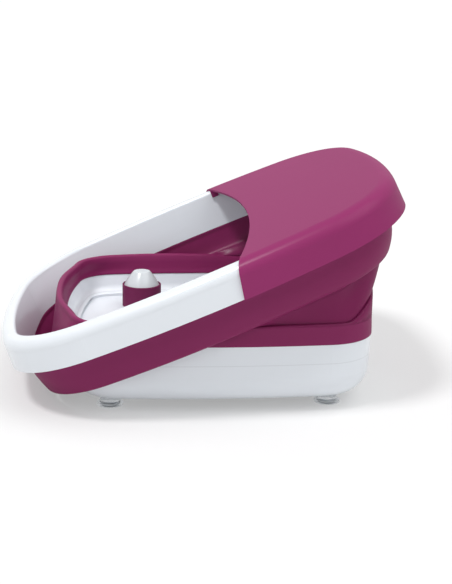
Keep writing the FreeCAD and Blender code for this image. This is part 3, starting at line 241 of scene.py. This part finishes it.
# Lamps: strength, spread and the direction that the light takes
KEY_LIGHT = (1.75, 12, (0.36, 0.30, -0.885))
FILL_LIGHT = (0.9, 50, (-0.50, 0.20, -0.84))

# Camera: what it looks at, with x from the middle of the base, its direction, roll and
# distance, and its lens and sensor in millimetres
LOOK_AT = (0.0149, 0.0, 0.0840)
CAMERA_AZIMUTH = -5.883
CAMERA_ELEVATION = 15.274
CAMERA_ROLL = 1.244
CAMERA_DISTANCE = 1.2605
CAMERA_LENS = 95.63
CAMERA_SENSOR = 36.0
CAMERA_SEES_TO = 100.0


# ---- blending ------------------------------------------------------------------------------

def smooth(span, value):
    """0 before the span and 1 after it, with a soft start and end."""
    low, high = span
    share = min(1.0, max(0.0, (value - low) / (high - low)))
    return share * share * (3 - 2 * share)


def between(start, end, share):
    return start + (end - start) * share


def mixed(starts, ends, share):
    return tuple(between(start, end, share) for start, end in zip(starts, ends))


def section_point(heel, toe, share):
    """Inset and height, in metres, of a section's point between its heel and toe forms."""
    return tuple(size / MM_PER_METRE for size in mixed(heel, toe, share))


# ---- outlines ------------------------------------------------------------------------------

def inset(outline, at_ends, at_sides):
    """An outline drawn in by one distance at its ends and another at its sides."""
    half_length, half_width, side, end, corner = outline
    at_corners = (at_ends + at_sides) / 2
    return (
        half_length - at_ends,
        half_width - at_sides,
        side - at_sides,
        end - at_ends,
        corner - at_corners,
    )


def quarter_arcs(outline):
    """Centre, radius, first and last angle of the end, corner and side arcs of one quarter."""
    half_length, half_width, side, end, corner = outline
    side_centre = Vector((0, half_width - side))
    end_centre = Vector((half_length - end, 0))
    reach_side = side - corner
    reach_end = end - corner
    # The corner arc touches both others from inside, so its centre is as far from each of
    # theirs as the radii differ
    span = end_centre - side_centre
    along = (span.length ** 2 + reach_side ** 2 - reach_end ** 2) / (2 * span.length)
    off = math.sqrt(reach_side ** 2 - along ** 2)
    forward = span.normalized()
    centre = side_centre + forward * along + Vector((forward.y, -forward.x)) * off
    to_side = centre - side_centre
    to_end = centre - end_centre
    end_angle = math.atan2(to_end.y, to_end.x)
    side_angle = math.atan2(to_side.y, to_side.x)
    return (
        (end_centre, end, 0.0, end_angle),
        (centre, corner, end_angle, side_angle),
        (side_centre, side, side_angle, math.pi / 2),
    )


def mirrored(ring, flip):
    """Stations in reverse order, with their x or y turned over."""
    return [(point * flip, normal * flip) for point, normal in reversed(ring)]


def stations(outline):
    """Points all round an outline, each with its outward normal; every outline has as many."""
    quarter = []
    for arc, steps in zip(quarter_arcs(outline), ARC_STEPS):
        centre, radius, first, last = arc
        for step in range(steps):
            angle = between(first, last, step / steps)
            normal = Vector((math.cos(angle), math.sin(angle)))
            quarter.append((centre + normal * radius, normal))
    side_middle = (Vector((0, outline[1])), Vector((0, 1)))
    half = [*quarter, side_middle, *mirrored(quarter, Vector((-1, 1)))]
    return half + mirrored(half[1:-1], Vector((1, -1)))


# ---- meshes --------------------------------------------------------------------------------

def add_object(name, data):
    thing = bpy.data.objects.new(name, data)
    bpy.context.scene.collection.objects.link(thing)
    return thing


def ring_mesh(name, rows, closed_section=False):
    """A mesh from rows of points; each row runs once round the part."""
    mesh = bmesh.new()
    rings = [[mesh.verts.new(point) for point in row] for row in rows]
    pairs = list(zip(rings, rings[1:]))
    if closed_section:
        pairs.append((rings[-1], rings[0]))
    for low, high in pairs:
        for here in range(len(low)):
            after = (here + 1) % len(low)
            mesh.faces.new((low[here], low[after], high[after], high[here]))
    bmesh.ops.recalc_face_normals(mesh, faces=mesh.faces)
    data = bpy.data.meshes.new(name)
    mesh.to_mesh(data)
    mesh.free()
    data.shade_smooth()
    return add_object(name, data)


# ---- shader nodes --------------------------------------------------------------------------

def add_node(tree, kind, **settings):
    """A new node, with the attributes or else the inputs of these names set."""
    node = tree.nodes.new(kind)
    for key, value in settings.items():
        if hasattr(node, key):
            setattr(node, key, value)
        else:
            node.inputs[key.replace("_", " ")].default_value = value
    return node


def seen_ray(tree):
    """1 for rays that show the background: from the camera, in gloss and through clear pieces."""
    rays = add_node(tree, "ShaderNodeLightPath")
    mirrored_ray = add_node(tree, "ShaderNodeMath", operation="MAXIMUM")
    tree.links.new(rays.outputs["Is Glossy Ray"], mirrored_ray.inputs[0])
    tree.links.new(rays.outputs["Is Transmission Ray"], mirrored_ray.inputs[1])
    shown = add_node(tree, "ShaderNodeMath", operation="MAXIMUM")
    tree.links.new(rays.outputs["Is Camera Ray"], shown.inputs[0])
    tree.links.new(mirrored_ray.outputs["Value"], shown.inputs[1])
    return shown.outputs["Value"]


def pale_when_seen(tree, plain, white, paleness, surface):
    """Mixes this share of a white shader into a plain one, for the rays that show it."""
    share = add_node(tree, "ShaderNodeMath", operation="MULTIPLY")
    share.inputs[1].default_value = paleness
    tree.links.new(seen_ray(tree), share.inputs[0])
    mix = add_node(tree, "ShaderNodeMixShader")
    tree.links.new(share.outputs["Value"], mix.inputs["Fac"])
    tree.links.new(plain, mix.inputs[1])
    tree.links.new(white, mix.inputs[2])
    tree.links.new(mix.outputs["Shader"], surface)


class Paint:
    """A new material and short ways to build its nodes."""

    def __init__(self, name):
        self.material = bpy.data.materials.new(name)
        self.material.use_nodes = True
        self.tree = self.material.node_tree
        self.shader = self.tree.nodes["Principled BSDF"]

    def add(self, kind, **settings):
        return add_node(self.tree, kind, **settings)

    def link(self, source, target):
        self.tree.links.new(source, target)

    def set(self, **inputs):
        for key, value in inputs.items():
            self.shader.inputs[key.replace("_", " ")].default_value = value

    def noise(self, scale, detail):
        """A noise that keeps its place on the object."""
        place = self.add("ShaderNodeTexCoord")
        texture = self.add("ShaderNodeTexNoise", Scale=scale, Detail=detail)
        self.link(place.outputs["Object"], texture.inputs["Vector"])
        return texture.outputs["Fac"]

    def uneven_gloss(self, pattern, smoothest, roughest):
        """Lets a noise vary the roughness between two values."""
        rough = self.add("ShaderNodeMapRange", To_Min=smoothest, To_Max=roughest)
        self.link(pattern, rough.inputs["Value"])
        self.link(rough.outputs["Result"], self.shader.inputs["Roughness"])

    def drifting_tone(self, pattern, colour, variation):
        """Lets a noise vary the colour between a darker and a lighter tone."""
        dark = [channel * (1 - variation) for channel in colour]
        light = [min(1.0, channel * (1 + variation)) for channel in colour]
        tone = self.add("ShaderNodeMix", data_type="RGBA")
        tone.inputs[COLOUR_A].default_value = (*dark, 1)
        tone.inputs[COLOUR_B].default_value = (*light, 1)
        self.link(pattern, tone.inputs["Factor"])
        return tone.outputs[MIXED_COLOUR]

    def painted_seam_shade(self, tone, height):
        """Darkens a thin level line where two mouldings meet, as painted shade of the gap between
        them, and returns the new tone.
        """
        place = self.add("ShaderNodeNewGeometry")
        split = self.add("ShaderNodeSeparateXYZ")
        self.link(place.outputs["Position"], split.inputs["Vector"])
        offset = self.add("ShaderNodeMath", operation="SUBTRACT")
        offset.inputs[1].default_value = height
        self.link(split.outputs["Z"], offset.inputs[0])
        distance = self.add("ShaderNodeMath", operation="ABSOLUTE")
        self.link(offset.outputs["Value"], distance.inputs[0])
        level = self.add("ShaderNodeMapRange", From_Max=SEAM_SHADE_HALF_WIDTH, To_Min=SEAM_SHADE_TONE)
        self.link(distance.outputs["Value"], level.inputs["Value"])
        scaled = self.add("ShaderNodeVectorMath", operation="SCALE")
        self.link(tone, scaled.inputs[0])
        self.link(level.outputs["Result"], scaled.inputs["Scale"])
        return scaled.outputs["Vector"]

    def fine_grain(self):
        """A fine bump over the whole surface."""
        bump = self.add("ShaderNodeBump", Strength=GRAIN_STRENGTH, Distance=GRAIN_DEPTH)
        self.link(self.noise(GRAIN_SCALE, GRAIN_DETAIL), bump.inputs["Height"])
        self.link(bump.outputs["Normal"], self.shader.inputs["Normal"])


# ---- materials -----------------------------------------------------------------------------

def moulded(name, colour, roughness, variation=0.04, line=None, **shader):
    """Moulded plastic; line is the height of its parting line, if it has one, which is darkened
    with painted shade.
    """
    paint = Paint(name)
    drift = paint.noise(DRIFT_SCALE, DRIFT_DETAIL)
    tone = paint.drifting_tone(drift, colour, variation)
    # Painted shade along the seam at that height
    if line:
        tone = paint.painted_seam_shade(tone, line)
    paint.link(tone, paint.shader.inputs["Base Color"])
    paint.uneven_gloss(drift, roughness * (1 - GLOSS_DRIFT), roughness * (1 + GLOSS_DRIFT))
    paint.fine_grain()
    paint.set(**shader)
    return paint.material


def clear_rubber(name):
    paint = Paint(name)
    haze = paint.noise(scale=60.0, detail=2.0)
    paint.uneven_gloss(haze, smoothest=0.08, roughest=0.2)
    paint.set(Base_Color=(0.9, 0.93, 0.96, 1), Transmission_Weight=0.8, IOR=1.2)
    return paint.material


def metal(name, colour, roughness):
    paint = Paint(name)
    streak = paint.noise(scale=400.0, detail=4.0)
    paint.uneven_gloss(streak, smoothest=roughness * 0.8, roughest=roughness * 1.25)
    paint.set(Base_Color=(*colour, 1), Metallic=1.0)
    return paint.material


def make_materials():
    sheen = {"Specular_IOR_Level": 0.0, "Coat_Weight": 0.24, "Coat_Roughness": 0.30}
    gloss = {"variation": 0.01, "Coat_Weight": 0.3, "Coat_Roughness": 0.08}
    white = (0.75, 0.785, 0.828)
    # A paler copy of the white plastic: painted light for the base and tub
    painted_light_white = (0.80, 0.84, 0.885)
    cap = (0.62, 0.655, 0.68)
    seam_height = max(corner.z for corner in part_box("base_shell"))
    return {
        "white_shell": moulded("white_shell", white, 0.25, **gloss),
        # Painted light: the base and tub get the paler copy, since the lamps leave them darker than
        # the rim
        "white_base_painted_light": moulded("white_base_painted_light", painted_light_white, 0.25, line=seam_height, **gloss),
        "white_cap": moulded("white_cap", cap, 0.3, **gloss),
        "berry_shell": moulded("berry_shell", (0.262, 0.029, 0.124), 0.4, **sheen),
        # Painted shade: a darker copy of the berry plastic for the knob bodies, which sit deep
        # inside the tub
        "berry_knob_painted_shade": moulded("berry_knob_painted_shade", (0.165, 0.019, 0.076), 0.4, **sheen),
        # Painted shade: a darker copy of the soft berry for the folding web, for the wall tucked
        # under the band and inside the crest
        "berry_web_painted_shade": moulded("berry_web_painted_shade", (0.198, 0.017, 0.086), 0.5, **sheen),
        "berry_soft": moulded("berry_soft", (0.228, 0.023, 0.101), 0.5, **sheen),
        "black_seal": moulded("black_seal", (0.02, 0.02, 0.02), 0.7),
        "grey_rubber": moulded("grey_rubber", (0.42, 0.43, 0.45), 0.6),
        "clear_foot": clear_rubber("clear_foot"),
        "screw_steel": metal("screw_steel", (0.6, 0.6, 0.6), 0.3),
        "motor_can": metal("motor_can", (0.5, 0.51, 0.52), 0.35),
        "weight_brass": metal("weight_brass", (0.7, 0.52, 0.22), 0.3),
        "heater_foil": metal("heater_foil", (0.8, 0.8, 0.8), 0.25),
        "board_green": moulded("board_green", (0.02, 0.14, 0.05), 0.4),
        "dark_plastic": moulded("dark_plastic", (0.03, 0.03, 0.035), 0.55),
    }


def dress_nodes(frame, materials):
    """Gives each CAD node the material of its slot, or a copy of it with painted light or shade."""
    for part in frame["record"]["subparts"]:
        name = part["node"]
        slots = frame["nodes"][name].data.materials
        slots.clear()
        slots.append(materials[OWN_MATERIAL.get(name, part["material_slot"])])


# ---- places of the soft pieces -------------------------------------------------------------

def base_middle():
    """X of the middle of the base, which is the middle of its feet."""
    low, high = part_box("suction_feet")
    return (low.x + high.x) / 2


def rim_place(frame, shift):
    """Carries points from the rim's own level frame to the rim, tilted as at rest."""
    fold = next(joint for joint in frame["joints"] if joint["name"] == "toe_end_fold")
    tilt = math.radians(-fold["range_deg"][0])
    centre = Matrix.Translation((RIM_CENTRE_X + shift, 0, RIM_CENTRE_Z))
    return centre @ Matrix.Rotation(-tilt, 4, "Y")


def base_point(station, depth, height, shift):
    """The point at this inset and height from a station of the base's outline."""
    point, normal = station
    return Vector((point.x - normal.x * depth + shift, point.y - normal.y * depth, height))


def rim_point(station, depth, height, place):
    """The point at this inset and height from a station of an outline in the rim's frame."""
    point, normal = station
    return place @ Vector((point.x - normal.x * depth, point.y - normal.y * depth, height))


def foot_stations():
    """Stations of the upper cuff's lower edge, drawn in a little at the toe end."""
    foot = inset(RIM_OUTLINE, UPPER_CUFF_END_INSET, UPPER_CUFF_SIDE_INSET)
    drawn = []
    for point, normal in stations(foot):
        pull = TOE_PULL * smooth(TOE_PULL_SPAN, point.x)
        drawn.append((Vector((point.x - pull, point.y)), normal))
    return drawn


def unfolding(x):
    """0 where the wall is folded down over the lower cuff, 1 where it stands up from it."""
    return smooth(FOLD_SPAN, x)


def crest_pull(x, height):
    """How far the folded crest is drawn in round the heel corners."""
    round_corner = smooth(CREST_START_SPAN, x) * (1 - smooth(CREST_END_SPAN, x))
    return CREST_PULL * round_corner * smooth(CREST_HEIGHT_SPAN, height)


# ---- lower cuff ----------------------------------------------------------------------------

def make_lower_cuff(materials, shift):
    rows = []
    ring = stations(BASE_OUTLINE)
    for heel, toe in zip(CUFF_AT_HEEL, CUFF_AT_TOE):
        row = []
        for station in ring:
            x = station[0].x
            depth, height = section_point(heel, toe, unfolding(x))
            row.append(base_point(station, depth + crest_pull(x, height), height, shift))
        rows.append(row)
    cuff = ring_mesh("lower_cuff_soft", rows, closed_section=True)
    cuff.data.materials.append(materials["berry_soft"])
    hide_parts("lower_cuff")
    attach(cuff, "base")


# ---- upper cuff ----------------------------------------------------------------------------

def wall_outline(height, out):
    """Outline of the rim's inner wall at a height, drawn outwards."""
    low = inset(RIM_OUTLINE, WALL_FOOT_END_INSET, WALL_FOOT_SIDE_INSET)
    high = inset(RIM_OUTLINE, RIM_TOP_INSET, RIM_TOP_INSET)
    share = (height + WALL_FOOT_DEPTH) / (RIM_HEIGHT + WALL_FOOT_DEPTH)
    return inset(mixed(low, high, share), -out, -out)


def band_row(heel, toe, high, foot, place):
    """One row of the upper cuff's band: an inset from the line between its foot and its top."""
    row = []
    for (low_point, low_normal), (high_point, high_normal) in zip(foot, high):
        roll = smooth(BAND_ROLL_SPAN, low_point.x)
        depth, height = section_point(heel, toe, roll)
        share = (height + UPPER_CUFF_DEPTH) / (UPPER_CUFF_DEPTH - WALL_FOOT_DEPTH)
        middle = between(low_point, high_point, share)
        normal = (low_normal + high_normal).normalized()
        row.append(rim_point((middle, normal), depth, height, place))
    return row


def plain_row(outline, height, place):
    """A level row, in the rim's frame, on an outline."""
    return [rim_point(station, 0.0, height, place) for station in stations(outline)]


def make_upper_cuff(materials, place):
    """Band under the rim with a soft rolled lower edge, and the bead that is clamped in the rim."""
    top = -WALL_FOOT_DEPTH
    foot = foot_stations()
    high = stations(wall_outline(top, LAP_OUT))
    outside = zip(HEEL_BAND_OUTSIDE, TOE_BAND_OUTSIDE)
    inside = zip(HEEL_BAND_INSIDE, TOE_BAND_INSIDE)
    rows = [band_row(heel, toe, high, foot, place) for heel, toe in outside]
    rows.append(plain_row(wall_outline(LAP_TOP, LAP_OUT), BEAD_FOOT, place))
    rows.append(plain_row(wall_outline(LAP_TOP, BEAD_OUT), BEAD_FOOT, place))
    rows.append(plain_row(wall_outline(LAP_TOP, BEAD_OUT), LAP_TOP, place))
    rows.append(plain_row(wall_outline(LAP_TOP, LAP_IN), LAP_TOP, place))
    rows.append(plain_row(wall_outline(top, LAP_IN), top, place))
    rows.append(plain_row(wall_outline(top, 0.0), top, place))
    rows += [band_row(heel, toe, high, foot, place) for heel, toe in inside]
    cuff = ring_mesh("upper_cuff_soft", rows, closed_section=True)
    cuff.data.materials.append(materials["berry_soft"])
    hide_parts("upper_cuff")
    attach(cuff, "rim")


# ---- folding web ---------------------------------------------------------------------------

def lip_points(station, shift):
    """The web's first points, where it leaves the lower cuff."""
    x = station[0].x
    opened = unfolding(x)
    rise = LIP_RISE * smooth(LIP_RISE_SPAN, x)
    points = []
    for heel, toe, lifted in zip(LIP_AT_HEEL, LIP_AT_TOE, LIP_SHARE_OF_RISE):
        depth, height = section_point(heel, toe, opened)
        depth += crest_pull(x, height)
        points.append(base_point(station, depth, height + rise * lifted, shift))
    return points


def curve_point(start, leaving, arriving, end, share):
    """A point on the Bezier curve with these four control points."""
    rest = 1 - share
    first_half = start * rest ** 3 + leaving * 3 * share * rest ** 2
    return first_half + arriving * 3 * share ** 2 * rest + end * share ** 3


def heading(shares, along, outward):
    """A direction from its shares along the run, outward and up."""
    along_share, outward_share, up_share = shares
    return along * along_share + outward * outward_share + Vector((0, 0, up_share))


def running_shares(points):
    """How far along its line each point lies, as a share of the line's length."""
    lengths = [0.0]
    for here, after in zip(points, points[1:]):
        lengths.append(lengths[-1] + (after - here).length)
    return [length / lengths[-1] for length in lengths]


def web_line(base_station, foot_station, shift, place):
    """The web at one station: off the lower cuff, along its run, and to the upper cuff's edge."""
    lip = lip_points(base_station, shift)
    start = lip[-1]
    x = base_station[0].x
    outward = base_station[1].to_3d()
    opened = unfolding(x)
    toe_turn = smooth(TOE_TURN_SPAN, x)
    recess = WEB_RECESS * smooth(RECESS_SPAN, x) * (1 - toe_turn)
    depth = between(HEEL_FOOT_INSET, TOE_FOOT_INSET, smooth(BAND_ROLL_SPAN, x))
    raised = WEB_FOOT_HEIGHT + recess * RECESS_RISE_SHARE
    end = rim_point(foot_station, depth + recess, raised, place)
    tail = rim_point(foot_station, depth, WEB_FOOT_HEIGHT, place)
    run = end - start
    along = run.normalized()
    leave_open = mixed(LEAVE_AT_SIDE, LEAVE_AT_TOE, toe_turn)
    leave = heading(mixed(LEAVE_FOLDED, leave_open, opened), along, outward)
    arrive_open = mixed(ARRIVE_AT_SIDE, ARRIVE_AT_TOE, toe_turn)
    arrive = heading(mixed(ARRIVE_FOLDED, arrive_open, opened), along, outward)
    bulge = HEEL_BULGE * (1 - opened)
    spread = CREST_SPREAD * crest_pull(x, start.z) + bulge
    leaving = start + leave * run.length + outward * spread
    arriving = end - arrive * run.length + outward * bulge
    points = list(lip)
    for row in range(1, WEB_ROWS + 1):
        points.append(curve_point(start, leaving, arriving, end, row / WEB_ROWS))
    return points, running_shares(points), [(end + tail) / 2, tail]


def web_split(x):
    """How far along the web the ring lies where the two web pieces meet."""
    return between(SPLIT_AT_HEEL, SPLIT_AT_TOE, smooth(SPLIT_SPAN, x))


def at_share(points, shares, share):
    """The point this far along a line; rounding can put the last share past its end."""
    for index in range(len(shares) - 1):
        low, high = shares[index:index + 2]
        if share <= high:
            return points[index].lerp(points[index + 1], (share - low) / (high - low))
    return points[-1].copy()


def web_piece(name, materials, lines):
    """A web piece from its lines of (point, weight), one for each station; only the points are
    used, the weights are not used.
    """
    rows = list(zip(*lines))
    piece = ring_mesh(name, [[point for point, weight in row] for row in rows])
    # The web's darker berry is painted shade of the folded wall
    piece.data.materials.append(materials["berry_web_painted_shade"])
    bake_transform(piece)
    solid = piece.modifiers.new("thickness", "SOLIDIFY")
    solid.thickness = WEB_THICKNESS
    solid.offset = 0
    return piece


def inner_line(points, shares, split):
    """The web's lip and its run up to the split, with weights from 0 to 1."""
    count = len(LIP_AT_HEEL)
    first = shares[count - 1]
    line = list(zip(points[:count], shares[:count]))
    for row in range(1, WEB_ROWS + 1):
        share = between(first, split, row / WEB_ROWS)
        line.append((at_share(points, shares, share), share))
    return [(point, min(1.0, share / split)) for point, share in line]


def outer_line(points, shares, split, tail):
    """The web's run from the split, with weights from 0 to 1, and its tail up to its foot."""
    line = []
    for row in range(WEB_ROWS + 1):
        weight = row / WEB_ROWS
        line.append((at_share(points, shares, between(split, 1.0, weight)), weight))
    return line + [(point, 1.0) for point in tail]


def make_web(materials, shift, place):
    """Two pieces that share a ring: the inner one runs from the lower cuff on the base, the outer
    one up to the upper cuff under the rim.
    """
    inner = []
    outer = []
    for base_station, foot_station in zip(stations(BASE_OUTLINE), foot_stations()):
        points, shares, tail = web_line(base_station, foot_station, shift, place)
        split = web_split(base_station[0].x)
        inner.append(inner_line(points, shares, split))
        outer.append(outer_line(points, shares, split, tail))
    inner_piece = web_piece("folding_web_inner", materials, inner)
    web_piece("folding_web_outer", materials, outer)
    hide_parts("folding_web")


# ---- stage ---------------------------------------------------------------------------------

def make_floor():
    data = bpy.data.meshes.new("floor")
    reach = FLOOR_HALF_SIZE
    corners = [(-reach, -reach, 0), (reach, -reach, 0), (reach, reach, 0), (-reach, reach, 0)]
    data.from_pydata(corners, [], [(0, 1, 2, 3)])
    floor = add_object("floor", data)
    paint = Paint("floor_paint")
    tone = (FLOOR_TONE, FLOOR_TONE, FLOOR_TONE, 1)
    paint.set(Base_Color=tone, Roughness=1.0, Specular_IOR_Level=0.0)
    white = paint.add("ShaderNodeEmission", Strength=1.0)
    surface = paint.tree.nodes["Material Output"].inputs["Surface"]
    plain = paint.shader.outputs["BSDF"]
    pale_when_seen(paint.tree, plain, white.outputs["Emission"], FLOOR_PALENESS, surface)
    floor.data.materials.append(paint.material)


def make_world():
    """Soft studio light, stronger from above, in front of a white background."""
    world = bpy.data.worlds.new("studio")
    bpy.context.scene.world = world
    world.use_nodes = True
    tree = world.node_tree
    ambient = tree.nodes["Background"]
    ambient.inputs["Color"].default_value = (0.99, 0.995, 1, 1)
    place = add_node(tree, "ShaderNodeTexCoord")
    split = add_node(tree, "ShaderNodeSeparateXYZ")
    tree.links.new(place.outputs["Generated"], split.inputs["Vector"])
    level = add_node(tree, "ShaderNodeMapRange", To_Min=AMBIENT_LOW, To_Max=AMBIENT_HIGH)
    tree.links.new(split.outputs["Z"], level.inputs["Value"])
    tree.links.new(level.outputs["Result"], ambient.inputs["Strength"])
    white = add_node(tree, "ShaderNodeBackground", Color=(1, 1, 1, 1), Strength=1.0)
    surface = tree.nodes["World Output"].inputs["Surface"]
    plain = ambient.outputs["Background"]
    pale_when_seen(tree, plain, white.outputs["Background"], 1.0, surface)


def soft_sun(name, strength, spread, towards):
    data = bpy.data.lights.new(name, "SUN")
    data.energy = strength
    data.angle = math.radians(spread)
    lamp = add_object(name, data)
    lamp.rotation_euler = Vector(towards).to_track_quat("-Z", "Y").to_euler()


def make_lights():
    """A soft key high over the near heel corner, and a weak fill from the near toe corner."""
    soft_sun("key", *KEY_LIGHT)
    soft_sun("fill", *FILL_LIGHT)


def make_camera(shift):
    azimuth = math.radians(CAMERA_AZIMUTH)
    elevation = math.radians(CAMERA_ELEVATION)
    roll = math.radians(CAMERA_ROLL)
    forward = Vector((
        -math.sin(azimuth) * math.cos(elevation),
        math.cos(azimuth) * math.cos(elevation),
        -math.sin(elevation),
    ))
    level_right = Vector((math.cos(azimuth), math.sin(azimuth), 0))
    level_up = level_right.cross(forward)
    right = level_right * math.cos(roll) + level_up * math.sin(roll)
    up = level_up * math.cos(roll) - level_right * math.sin(roll)
    place = Vector(LOOK_AT) + Vector((shift, 0, 0)) - forward * CAMERA_DISTANCE
    data = bpy.data.cameras.new("camera")
    data.sensor_fit = "HORIZONTAL"
    data.sensor_width = CAMERA_SENSOR
    data.lens = CAMERA_LENS
    data.clip_end = CAMERA_SEES_TO
    camera = add_object("camera", data)
    axes = Matrix((right, up, -forward)).transposed().to_4x4()
    camera.matrix_world = Matrix.Translation(place) @ axes
    bpy.context.scene.camera = camera


def main():
    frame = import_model()
    shift = base_middle()
    place = rim_place(frame, shift)
    materials = make_materials()
    dress_nodes(frame, materials)
    make_lower_cuff(materials, shift)
    make_upper_cuff(materials, place)
    make_web(materials, shift, place)
    make_floor()
    make_world()
    make_lights()
    make_camera(shift)
    bpy.context.scene.view_settings.view_transform = "Standard"


main()
